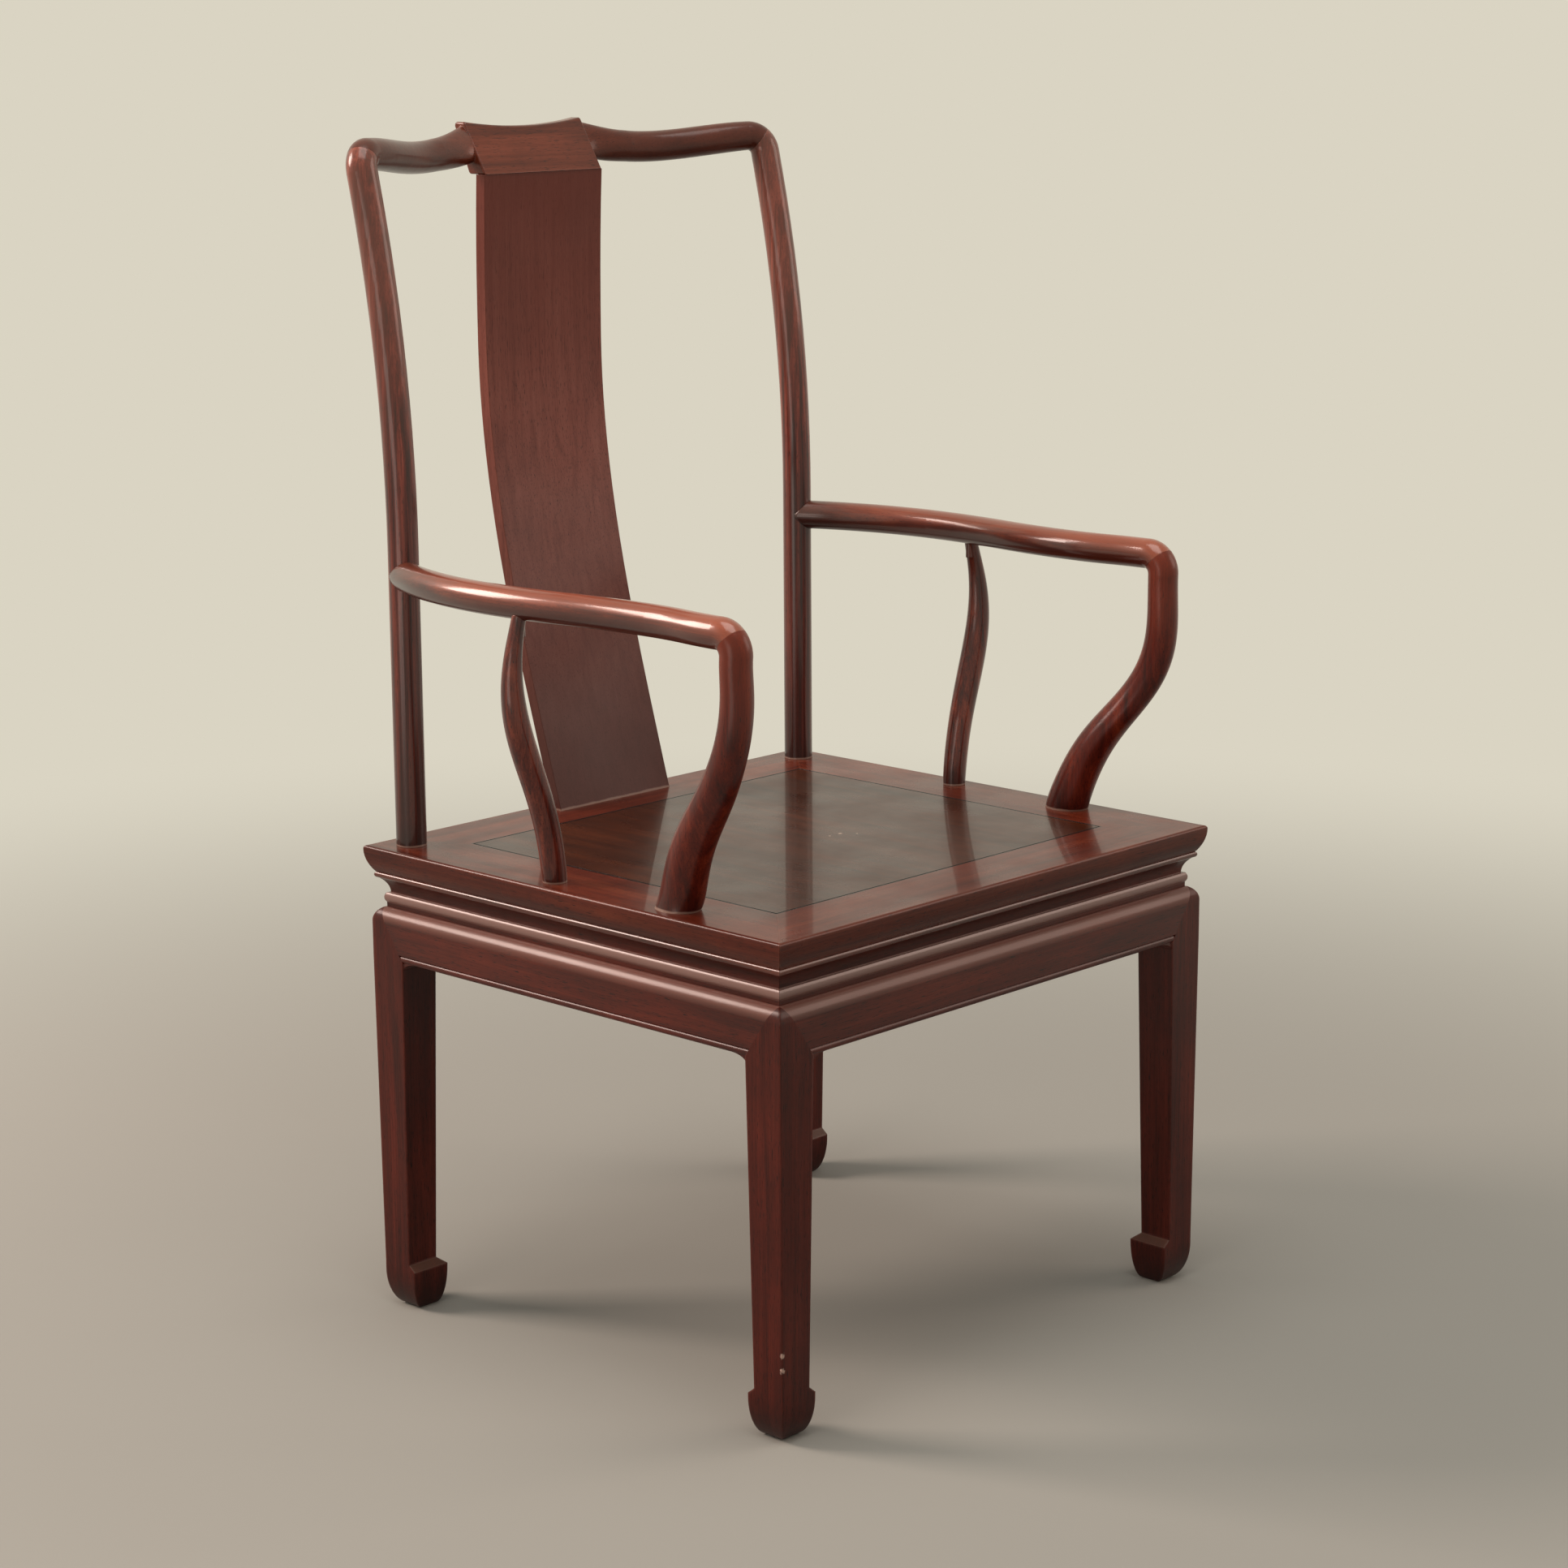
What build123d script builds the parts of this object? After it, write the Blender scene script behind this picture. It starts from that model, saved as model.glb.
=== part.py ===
from build123d import *
import os
from math import asin, cos, radians, sin, tan

# Official's armchair in rosewood: a waisted seat on four horse-hoof legs, with separate round posts,
# a bent splat and a yoke-shaped crest rail standing on it.
#
# Millimetres, +Z up, the sitter faces -Y, and right is +X. Each piece is drawn about the middle of the
# seat, at floor level, and is moved to the chair's origin when it is written: on the floor, midway
# between the front edge of the seat and the back of the crest rail.
# "inset" runs from the lip of the seat towards its middle, and "rise" upwards from the seat's top.

# ---------------------------------------------------------------- driving dimensions
seat_w = 588.0              # lip to lip, left to right
seat_d = 534.0              # lip to lip, front to back
seat_h = 450.0              # floor to the top of the seat

rail_w = 72.0               # the four mitred rails of the seat frame
rail_t = 31.0
lip_round = 3.0
edge_undercut = 7.6         # how far the rounded edge of the seat draws in above its bead
bead_d = 6.0                # bead along the foot of the edge

panel_t = 13.0
panel_gap = 1.2             # open line around the floating panel
tongue_l = 8.0
tongue_t = 6.0
batten_w = 34.0
batten_t = 18.0
batten_x = 105.0            # battens either side of the middle
batten_tenon = 12.0
batten_tenon_w = 24.0
batten_tenon_t = 8.0
dovetail_h = 4.0            # batten into the underside of the panel
dovetail_foot = 22.0
dovetail_flare = 3.0

waist_h = 28.0              # waist strip, cove and lower moulding together
waist_top_inset = 9.5
waist_inset = 17.4          # deepest line of the cove
cove_h = 14.5
moulding_inset = 12.8
moulding_h = 9.0
waist_quirk_inset = 14.6    # thin recess between the lower moulding and the apron

apron_h = 47.5
apron_inset = 4.6
apron_t = 22.4
shoulder_inset = 13.1
shoulder_h = 13.0
apron_bead = 5.6
quirk = 1.3                 # sunk line above the apron's bead

leg_w = 41.0                # at the apron
ankle_w = 33.8
ankle_h = 45.5
ankle_inset = 6.4
hoof_tip = 7.5              # how far the hoof turns in past the ankle
hoof_ledge_drop = 6.0
hoof_draw = 9.0             # inner face of the hoof rolls back to the sole
hoof_curve_h = 34.0
hoof_undercut = 15.0        # outer face of the hoof rolls in to the sole
corner_l = 18.0             # round corner between each leg and apron: its run along the apron
corner_r = 7.5              # and down the leg

post_d = 28.5
post_side_inset = 31.5      # axis of the back posts, from the side and from the back of the seat
post_back_inset = 32.5
post_bend_rise = 278.0      # below here the back posts are straight
post_bend_r = 1400.0
post_top_rise = 633.0       # where the lines of post and crest rail cross
elbow_r = 17.5              # bend of the pipe joints, at the middle of the wood

splat_t = 12.0
splat_foot_w = 147.0
splat_head_w = 153.0
splat_back_inset = 33.7     # front face of the splat where it stands on the seat
splat_foot_slope = 0.295    # run over rise
splat_head_slope = -0.06
splat_head_back = 38.8      # from the top of the post back to the head of the splat
splat_head_drop = 28.0      # and down to it
splat_hollow = 4.2          # the hollow for the sitter's back lies this far behind the splat's head
splat_hollow_share = 0.735  # of the splat's height
splat_tenon = 10.0          # at its foot
splat_tongue_l = 7.0        # tongue in the crest rail, set back from the splat's face
splat_tongue_t = 5.0
splat_tongue_back = 1.5     # from the splat's back
splat_tongue_in = 8.0       # from each edge of the splat

wing_d = 30.0               # crest rail at the low point of each wing
wing_dip_x = 163.0
wing_sweep = 44.2           # the low point lies behind the top of the post, and below it
wing_drop = 9.2
wing_bulge = 12.0           # the rail bows this much to the back on its way to the headrest, times s (1 - s)
headrest_x = 76.0           # end of the headrest, from the middle
headrest_l = 57.0           # at the horns, up its own slope
headrest_mid_l = 50.4
headrest_lean = 31.0        # degrees
headrest_step = 1.0         # foot of its face, in front of the splat
headrest_foot_t = 24.0      # front to back, level
headrest_top_t = 16.0
headrest_round = 3.5
headrest_end_round = 2.0    # along the edges of its two ends
horn_wing_t = 15.0          # wing where it enters the headrest, square to the slope and up it
horn_wing_l = 38.0
horn_margin = 0.5           # it enters this far inside the face and the top
shoulder_hold = 3.0         # the rail keeps its wing's round section further as this grows
shoulder_shares = [0.45, 0.70, 0.88, 1.0]  # sections drawn from the low point of the wing to the headrest
dip_turn = 0.7              # share of the wing's slant that its section keeps at the low point
shoulder_turn = 0.6         # and that the shoulder starts with

arm_d = 28.5
arm_rise = 253.0
arm_bow_out = 4.0           # widest part of the arm, past the lip of the seat
arm_bow_y = 80.0
arm_waist_in = 12.5         # narrow part of the arm, from the lip of the seat
arm_waist_y = -112.0
arm_front_side_inset = 6.0  # where the lines of arm and gooseneck cross
arm_front_inset = 53.0

goose_side_inset = 28.5     # middle of the gooseneck's foot
goose_front_inset = 148.0
goose_foot_w = 36.5
goose_foot_depth = 44.0
goose_curve = [             # rise, out and forward of the foot, width, depth
    (40, 2.5, 15, 35, 43.5),
    (80, 9.5, 38.5, 33.5, 43.5),
    (120, 19, 69.5, 30, 39),
    (155, 23, 88, 29, 33),
    (190, 22.5, 95, 28.5, 30),
]

side_side_inset = 22.5      # middle of the side post's foot
side_y = 30.0
side_foot_d = 22.0
side_curve = [              # rise, out and back of the foot, diameter
    (50, 7.2, 0.8, 23.5),
    (100, 22.5, 2.2, 25),
    (150, 38, 3.8, 23.5),
    (185, 41.5, 4.8, 19.5),
    (220, 36.5, 5.8, 15),
]
side_head_out = 3.0         # the post's head stands outside the middle line of the arm
side_head_d = 12.5

tenon_d = 14.0              # round tenons of the posts
side_tenon_d = 11.0
side_head_tenon_d = 7.0
post_tenon = 17.0           # depth of the tenons that stand in the seat
pipe_tenon_d = 10.0         # pin inside each pipe joint
pipe_tenon = 10.0
arm_tenon = 9.0
leg_tenon = 8.0
leg_tenon_w = 14.0
mitre_tenon_l = 20.0
mitre_tenon_w = 15.0
mitre_tenon_t = 9.0
tenon_wall = 2.0            # least wood between a mitre tenon and the panel's groove
joint_clearance = 0.25      # around every tenon and tongue
scribe_gap = 0.05           # a shoulder scribed to a round post

# ---------------------------------------------------------------- heights and places that follow
rail_bottom = seat_h - rail_t
waist_bottom = rail_bottom - waist_h
apron_bottom = waist_bottom - apron_h
apron_back = apron_inset + apron_t          # the core of each leg stands behind this line
leg_inner = apron_inset + leg_w
core_w = leg_inner - apron_back
core_inset = (leg_inner + apron_back) / 2
ankle_inner = ankle_inset + ankle_w
corner_start = leg_inner - (leg_inner - ankle_inner) * corner_r / (apron_bottom - ankle_h)
corner_end = corner_start + corner_l
corner_t = apron_back - apron_inset - quirk  # the round corner is as thick as the apron behind its bead
panel_bottom = seat_h - panel_t
groove_l = tongue_l + joint_clearance
batten_z = panel_bottom - batten_t / 2

post_foot = Vector(seat_w / 2 - post_side_inset, seat_d / 2 - post_back_inset, seat_h)
goose_foot = Vector(seat_w / 2 - goose_side_inset, goose_front_inset - seat_d / 2, seat_h)
side_foot = Vector(seat_w / 2 - side_side_inset, side_y, seat_h)

UP = Vector(0, 0, 1)
BACK = Vector(0, 1, 0)
SIDES = {"front": 0, "right": 90, "back": 180, "left": 270}
pieces = {}


def half_of(side):
    """Distance from the middle of the seat to the lip of one side."""
    return (seat_d if SIDES[side] % 180 == 0 else seat_w) / 2


def run_of(side):
    """Length of one side of the seat, lip to lip."""
    return seat_w if SIDES[side] % 180 == 0 else seat_d


def section_plane(side):
    """Upright plane across one side: x is the inset from the lip, y the height above the floor."""
    outward = Vector(0, -1, 0).rotate(Axis.Z, SIDES[side])
    along = Vector(1, 0, 0).rotate(Axis.Z, SIDES[side])
    return Plane(origin=outward * half_of(side), x_dir=-outward, z_dir=along)


def plan_plane(side):
    """Floor plane with x along one side of the seat and y inward from its lip."""
    return Plane(origin=section_plane(side).origin, x_dir=section_plane(side).z_dir, z_dir=UP)


def mitre_plan(side, depth):
    """Plan of a strip along one side that is mitred at both ends."""
    half = run_of(side) / 2
    with BuildSketch() as plan:
        with BuildLine():
            Polyline((-half, 0), (half, 0), (half - depth, depth), (depth - half, depth), close=True)
        make_face()
    return plan.sketch


def other_side(piece, plane=Plane.YZ):
    """The same piece for the other side of the chair."""
    with BuildPart() as copy:
        add(piece.part.mirror(plane))
    return copy


def pin(origin, direction, start, end, d):
    """Round pin along one direction, between two distances from its origin."""
    with BuildPart(mode=Mode.PRIVATE) as rod:
        with BuildSketch(Plane(origin=origin + direction * start, z_dir=direction)):
            Circle(d / 2)
        extrude(amount=end - start)
    return rod.part


# ---------------------------------------------------------------- lines of the round members
def pipe_joint(crossing, rise, run):
    """Bend of a pipe joint: its start, middle and end, and the plane of its mitre."""
    half_turn = radians(rise.get_angle(run)) / 2
    reach = elbow_r * tan(half_turn)
    middle = crossing + (run - rise).normalized() * elbow_r * (1 / cos(half_turn) - 1)
    mitre = Plane(origin=middle, z_dir=(rise + run).normalized())
    return crossing - rise * reach, middle, crossing + run * reach, mitre


post_bend = post_foot + UP * post_bend_rise
post_lean = asin((post_top_rise - 2 * elbow_r - post_bend_rise) / post_bend_r)
post_bend_end = post_bend + BACK * post_bend_r * (1 - cos(post_lean)) + UP * post_bend_r * sin(post_lean)
post_rise = Vector(0, sin(post_lean), cos(post_lean))
post_top = post_bend_end + post_rise * (2 * elbow_r / cos(post_lean))
wing_dip = Vector(wing_dip_x, post_top.Y + wing_sweep, post_top.Z - wing_drop)
wing_run = (wing_dip - post_top).normalized()
post_elbow, post_pin, wing_start, post_mitre = pipe_joint(post_top, post_rise, wing_run)

arm_z = seat_h + arm_rise
arm_front = Vector(seat_w / 2 - arm_front_side_inset, arm_front_inset - seat_d / 2, arm_z)
goose_elbow, goose_pin, arm_start, goose_mitre = pipe_joint(arm_front, UP, BACK)
arm_bow = Vector(seat_w / 2 + arm_bow_out, arm_bow_y, arm_z)
arm_waist = Vector(seat_w / 2 - arm_waist_in, arm_waist_y, arm_z)
arm_side_x = arm_bow.X - (arm_bow.X - arm_waist.X) * ((arm_bow.Y - side_y) / (arm_bow.Y - arm_waist.Y)) ** 2
arm_seat = Vector(post_foot.X, post_foot.Y, arm_z)
arm_turn = 2 * (arm_seat - arm_bow).get_angle(BACK)
arm_entry = BACK.rotate(Axis.Z, arm_turn)   # the arm's direction where it enters the post

splat_foot_y = seat_d / 2 - splat_back_inset
splat_head = Vector(0, post_top.Y + splat_head_back, post_top.Z - splat_head_drop)
headrest_slope = Vector(0, sin(radians(headrest_lean)), cos(radians(headrest_lean)))


def splat_profile(clearance=0.0):
    """Side view of the splat and its tenon: x is back from the seat's middle, y the height."""
    foot = seat_h - splat_tenon - clearance
    line = [
        (splat_foot_y - splat_foot_slope * (splat_tenon + clearance), foot),
        (splat_foot_y, seat_h),
        (splat_head.Y + splat_hollow, seat_h + splat_hollow_share * (splat_head.Z - seat_h)),
        (splat_head.Y, splat_head.Z),
    ]
    lean = [(splat_foot_slope, 1), (splat_foot_slope, 1), (0, 1), (splat_head_slope, 1)]
    front = [(y - clearance, z) for y, z in line]
    back = [(y + splat_t + clearance, z) for y, z in line]
    with BuildSketch() as section:
        with BuildLine():
            Spline(front, tangents=lean)
            Line(front[-1], back[-1])
            Spline(back, tangents=lean)
            Line(back[0], front[0])
        make_face()
    return section.sketch


def splat_tongue(clearance=0.0):
    """The tongue that the splat sends up into the headrest."""
    back = splat_head.Y + splat_t - splat_tongue_back
    with BuildPart(mode=Mode.PRIVATE) as tongue:
        with Locations((0, back - splat_tongue_t / 2, splat_head.Z)):
            Box(splat_head_w - 2 * splat_tongue_in + 2 * clearance, splat_tongue_t + 2 * clearance,
                2 * (splat_tongue_l + clearance))
    return tongue.part


# ---------------------------------------------------------------- seat frame
def rail_section():
    """Seat rail: rounded lip, edge that draws in to a bead, groove for the panel's tongue."""
    edge_foot = rail_bottom + bead_d
    bead_inset = edge_undercut + bead_d / 3
    tongue_top = panel_bottom + tongue_t + joint_clearance
    tongue_bottom = panel_bottom - joint_clearance
    with BuildSketch() as section:
        with BuildLine():
            TangentArc((0, seat_h - lip_round), (lip_round, seat_h), tangent=(0, 1))
            Polyline((lip_round, seat_h), (rail_w, seat_h), (rail_w, tongue_top),
                     (rail_w - groove_l, tongue_top), (rail_w - groove_l, tongue_bottom),
                     (rail_w, tongue_bottom), (rail_w, rail_bottom), (bead_inset, rail_bottom))
            ThreePointArc((bead_inset, rail_bottom), (edge_undercut - bead_d / 6, rail_bottom + bead_d / 2),
                          (bead_inset, edge_foot))
            Line((bead_inset, edge_foot), (edge_undercut, edge_foot))
            TangentArc((0, seat_h - lip_round), (edge_undercut, edge_foot), tangent=(0, -1))
        make_face()
    return section.sketch


def mitre_tenon_plan(front_or_back, clearance):
    """Plan of the tenons that the front (-1) or back (1) rail sends into the two side rails."""
    inner = rail_w - groove_l - tenon_wall
    x = seat_w / 2 - inner + mitre_tenon_l / 2
    y = front_or_back * (seat_d / 2 - inner + mitre_tenon_w / 2)
    with BuildSketch() as plan:
        with Locations((-x, y), (x, y)):
            Rectangle(mitre_tenon_l + 2 * clearance, mitre_tenon_w + 2 * clearance)
    return plan.sketch


standing = [                                # what stands in a hole in the seat frame
    (post_foot, tenon_d),
    (goose_foot, tenon_d),
    (side_foot, side_tenon_d),
]
mitre_tenon_z = panel_bottom - joint_clearance - tenon_wall / 2 - mitre_tenon_t / 2
batten_hole_w = batten_tenon_w + 2 * joint_clearance

for side in SIDES:
    with BuildPart() as rail:
        with BuildSketch(section_plane(side)):
            add(rail_section())
        extrude(amount=run_of(side) / 2, both=True)
        with BuildSketch(plan_plane(side)):
            add(mitre_plan(side, rail_w))
        extrude(amount=seat_h, mode=Mode.INTERSECT)
        if side in ("front", "back"):
            with BuildSketch(Plane.XY.offset(mitre_tenon_z)):
                add(mitre_tenon_plan(-1 if side == "front" else 1, 0))
            extrude(amount=mitre_tenon_t / 2, both=True)
            for x in (-batten_x, batten_x):
                with BuildSketch(section_plane(side).offset(x)):
                    with Locations((rail_w, batten_z)):
                        Rectangle(2 * (batten_tenon + joint_clearance), batten_tenon_t + 2 * joint_clearance)
                extrude(amount=batten_hole_w / 2, both=True, mode=Mode.SUBTRACT)
        else:
            with BuildSketch(Plane.XY.offset(mitre_tenon_z)):
                add(mitre_tenon_plan(-1, joint_clearance))
                add(mitre_tenon_plan(1, joint_clearance))
            extrude(amount=mitre_tenon_t / 2 + joint_clearance, both=True, mode=Mode.SUBTRACT)
        for foot, d in standing:
            with BuildSketch(Plane.XY.offset(seat_h)):
                with Locations((foot.X, foot.Y), (-foot.X, foot.Y)):
                    Circle(d / 2 + joint_clearance)
            extrude(amount=-post_tenon - joint_clearance, mode=Mode.SUBTRACT)
        with BuildSketch(Plane.XY.offset(rail_bottom)):
            with GridLocations(seat_w - 2 * core_inset, seat_d - 2 * core_inset, 2, 2):
                Rectangle(leg_tenon_w + 2 * joint_clearance, leg_tenon_w + 2 * joint_clearance)
        extrude(amount=leg_tenon + joint_clearance, mode=Mode.SUBTRACT)
        if side == "back":
            with BuildSketch(Plane.YZ):
                add(splat_profile(joint_clearance))
            extrude(amount=splat_foot_w / 2 + joint_clearance, both=True, mode=Mode.SUBTRACT)
    pieces["seat_rail_" + side] = rail

# ---------------------------------------------------------------- seat panel and its battens
dovetail_top = panel_bottom + dovetail_h


def dovetail(clearance):
    """Head of a batten, wider at its top, that slides into the underside of the panel."""
    foot = dovetail_foot / 2 + clearance
    head = foot + dovetail_flare
    with BuildSketch() as section:
        with BuildLine():
            Polyline((-foot, panel_bottom), (foot, panel_bottom), (head, dovetail_top + clearance),
                     (-head, dovetail_top + clearance), close=True)
        make_face()
    return section.sketch


with BuildPart() as panel:
    with BuildSketch(Plane.XY.offset(panel_bottom)):
        Rectangle(seat_w - 2 * (rail_w + panel_gap), seat_d - 2 * (rail_w + panel_gap))
    extrude(amount=panel_t)
    with BuildSketch(Plane.XY.offset(panel_bottom)):
        Rectangle(seat_w - 2 * (rail_w - tongue_l), seat_d - 2 * (rail_w - tongue_l))
    extrude(amount=tongue_t)
    for x in (-batten_x, batten_x):
        with BuildSketch(Plane(origin=(x, 0, 0), x_dir=(1, 0, 0), z_dir=-BACK)):
            add(dovetail(joint_clearance))
        extrude(amount=seat_d / 2, both=True, mode=Mode.SUBTRACT)
pieces["seat_panel"] = panel

opening_d = seat_d - 2 * rail_w
for name, x in (("seat_batten_left", -batten_x), ("seat_batten_right", batten_x)):
    across = Plane(origin=(x, 0, 0), x_dir=(1, 0, 0), z_dir=-BACK)
    with BuildPart() as batten:
        with BuildSketch(across):
            with Locations((0, batten_z)):
                Rectangle(batten_w, batten_t)
            add(dovetail(0))
        extrude(amount=opening_d / 2 - joint_clearance, both=True)
        with BuildSketch(across):
            with Locations((0, batten_z)):
                Rectangle(batten_tenon_w, batten_tenon_t)
        extrude(amount=opening_d / 2 + batten_tenon, both=True)
    pieces[name] = batten


# ---------------------------------------------------------------- waist and aprons
def waist_section():
    """Waist strip: a cove under the seat's edge and a half-round moulding on the apron."""
    cove_foot = rail_bottom - cove_h
    moulding_foot = cove_foot - moulding_h
    with BuildSketch() as section:
        with BuildLine():
            TangentArc((waist_inset, cove_foot), (waist_top_inset, rail_bottom), tangent=(0, 1))
            Polyline((waist_top_inset, rail_bottom), (apron_back, rail_bottom), (apron_back, waist_bottom),
                     (waist_quirk_inset, waist_bottom), (waist_quirk_inset, moulding_foot))
            ThreePointArc((waist_quirk_inset, moulding_foot),
                          (moulding_inset, moulding_foot + moulding_h / 2), (waist_quirk_inset, cove_foot))
            Line((waist_quirk_inset, cove_foot), (waist_inset, cove_foot))
        make_face()
    return section.sketch


def apron_section():
    """Apron: rounded shoulder, flat face and a bead with a sunk line above it."""
    shoulder_foot = waist_bottom - shoulder_h
    bead_top = apron_bottom + apron_bead
    with BuildSketch() as section:
        with BuildLine():
            TangentArc((apron_inset, shoulder_foot), (shoulder_inset, waist_bottom), tangent=(0, 1))
            Polyline((shoulder_inset, waist_bottom), (apron_back, waist_bottom), (apron_back, apron_bottom),
                     (apron_inset + quirk, apron_bottom))
            ThreePointArc((apron_inset + quirk, apron_bottom), (apron_inset, (apron_bottom + bead_top) / 2),
                          (apron_inset + quirk, bead_top))
            Polyline((apron_inset + quirk, bead_top), (apron_inset, bead_top + quirk),
                     (apron_inset, shoulder_foot))
        make_face()
    return section.sketch


for side in SIDES:
    with BuildPart() as waist:
        with BuildSketch(section_plane(side)):
            add(waist_section())
        extrude(amount=run_of(side) / 2, both=True)
        with BuildSketch(plan_plane(side)):
            add(mitre_plan(side, apron_back))
        extrude(amount=seat_h, mode=Mode.INTERSECT)
    pieces["waist_" + side] = waist


def corner_fill(limit_x):
    """Wood that rounds the corner between leg and apron: its part from their mitre to one side."""
    corner = Vector(leg_inner, apron_bottom)
    mitre_end = corner + (corner - Vector(shoulder_inset, waist_bottom)).normalized() * 2 * corner_r
    with BuildSketch() as fill:
        with Locations((corner_start + corner_l / 2, apron_bottom - corner_r / 2)):
            Rectangle(corner_l, corner_r)
        with Locations((corner_end, apron_bottom - corner_r)):
            Ellipse(corner_l, corner_r, mode=Mode.SUBTRACT)
        with BuildLine():
            Polyline(corner, mitre_end, (limit_x, mitre_end.Y), (limit_x, apron_bottom), close=True)
        make_face(mode=Mode.INTERSECT)
    return fill.sketch


for side in SIDES:
    half = run_of(side) / 2
    inward = section_plane(side).x_dir
    along = section_plane(side).z_dir
    face_on = Plane(origin=section_plane(side).origin, x_dir=along, z_dir=-inward)
    from_end = Plane(origin=section_plane(side).origin + along * half, x_dir=-along, z_dir=inward)
    with BuildPart() as apron:
        with BuildSketch(section_plane(side)):
            add(apron_section())
        extrude(amount=half, both=True)
        with BuildSketch(plan_plane(side)):
            add(mitre_plan(side, apron_back))
        extrude(amount=seat_h, mode=Mode.INTERSECT)
        with BuildSketch(face_on):
            with BuildLine():
                Polyline((half - shoulder_inset, waist_bottom), (half - leg_inner, apron_bottom),
                         (leg_inner - half, apron_bottom), (shoulder_inset - half, waist_bottom), close=True)
            make_face()
        extrude(amount=-apron_back, mode=Mode.INTERSECT)
        with BuildSketch(from_end.offset(apron_back - corner_t)):
            add(corner_fill(corner_end))
        extrude(amount=corner_t)
        mirror(about=Plane(origin=(0, 0, 0), z_dir=along))
    pieces["apron_" + side] = apron


# ---------------------------------------------------------------- legs
def leg_elevation():
    """Outline of a leg seen square on: x is the inset from the lip, y the height above the floor."""
    shoulder_foot = waist_bottom - shoulder_h
    sole_outer = ankle_inset + hoof_undercut
    tip = ankle_inner + hoof_tip
    ledge = ankle_h - hoof_ledge_drop
    with BuildSketch() as outline:
        with BuildLine():
            TangentArc((apron_inset, shoulder_foot), (shoulder_inset, waist_bottom), tangent=(0, 1))
            Polyline((shoulder_inset, waist_bottom), (leg_inner, waist_bottom), (leg_inner, apron_bottom),
                     (ankle_inner, ankle_h), (tip, ledge))
            EllipticalCenterArc((tip - hoof_draw, ledge), hoof_draw, ledge, 0, arc_size=-90)
            Line((tip - hoof_draw, 0), (sole_outer, 0))
            EllipticalCenterArc((sole_outer, hoof_curve_h), hoof_undercut, hoof_curve_h, 180, arc_size=90)
            Polyline((ankle_inset, hoof_curve_h), (ankle_inset, ankle_h), (apron_inset, apron_bottom),
                     (apron_inset, shoulder_foot))
        make_face()
    return outline.sketch


def shoulder_cut():
    """The part of a leg's head, seen square on, that the mitred end of an apron takes up."""
    with BuildSketch() as outline:
        with BuildLine():
            Polyline((shoulder_inset, waist_bottom), (leg_inner, apron_bottom), (leg_inner, waist_bottom),
                     close=True)
        make_face()
    return outline.sketch


core = (seat_w / 2 - core_inset, core_inset - seat_d / 2)
with BuildPart() as leg:
    with BuildSketch(section_plane("front")):
        add(leg_elevation())
    extrude(amount=seat_w / 2)
    with BuildSketch(section_plane("right")):
        add(leg_elevation())
    extrude(amount=-seat_d / 2, mode=Mode.INTERSECT)
    with BuildSketch(section_plane("front").offset(seat_w / 2 - apron_back)):
        add(shoulder_cut())
    extrude(amount=apron_back, mode=Mode.SUBTRACT)
    with BuildSketch(section_plane("right").offset(apron_back - seat_d / 2)):
        add(shoulder_cut())
    extrude(amount=-apron_back, mode=Mode.SUBTRACT)
    leg_corner = corner_fill(corner_start)
    with BuildSketch(section_plane("front").offset(seat_w / 2 - apron_back)):
        add(leg_corner)
    extrude(amount=corner_t)
    with BuildSketch(section_plane("right").offset(apron_back - seat_d / 2)):
        add(leg_corner)
    extrude(amount=-corner_t)
    with BuildSketch(Plane.XY.offset(waist_bottom)):
        with Locations(core):
            Rectangle(core_w, core_w)
    extrude(amount=waist_h)
    with BuildSketch(Plane.XY.offset(rail_bottom)):
        with Locations(core):
            Rectangle(leg_tenon_w, leg_tenon_w)
    extrude(amount=leg_tenon)
pieces["leg_front_right"] = leg
pieces["leg_front_left"] = other_side(leg)
pieces["leg_back_right"] = other_side(leg, Plane.XZ)
pieces["leg_back_left"] = other_side(pieces["leg_back_right"])

# ---------------------------------------------------------------- back posts
with BuildPart() as post:
    with BuildLine() as axis:
        Line(post_foot, post_bend)
        TangentArc(post_bend, post_bend_end, tangent=UP)
        Line(post_bend_end, post_elbow)
        TangentArc(post_elbow, wing_start, tangent=post_rise)
    with BuildSketch(Plane(origin=post_foot, z_dir=UP)):
        Circle(post_d / 2)
    sweep(path=axis.wire())
    split(bisect_by=post_mitre, keep=Keep.BOTTOM)
    add(pin(post_pin, post_rise, -pipe_tenon_d, pipe_tenon, pipe_tenon_d))
    add(pin(post_foot, -UP, 0, post_tenon, tenon_d))
    add(pin(arm_seat, -arm_entry, post_d / 2 - arm_tenon - joint_clearance, post_d,
            pipe_tenon_d + 2 * joint_clearance), mode=Mode.SUBTRACT)
pieces["back_post_right"] = post
pieces["back_post_left"] = other_side(post)

# ---------------------------------------------------------------- splat
with BuildPart() as splat:
    with BuildSketch(Plane.YZ):
        add(splat_profile())
    extrude(amount=splat_head_w / 2, both=True)
    with BuildSketch(Plane.XZ):
        with BuildLine():
            Polyline((-splat_foot_w / 2, seat_h - splat_tenon), (splat_foot_w / 2, seat_h - splat_tenon),
                     (splat_foot_w / 2, seat_h), (splat_head_w / 2, splat_head.Z),
                     (-splat_head_w / 2, splat_head.Z), (-splat_foot_w / 2, seat_h), close=True)
        make_face()
    extrude(amount=-seat_d, mode=Mode.INTERSECT)
    add(splat_tongue())
pieces["splat"] = splat


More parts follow.
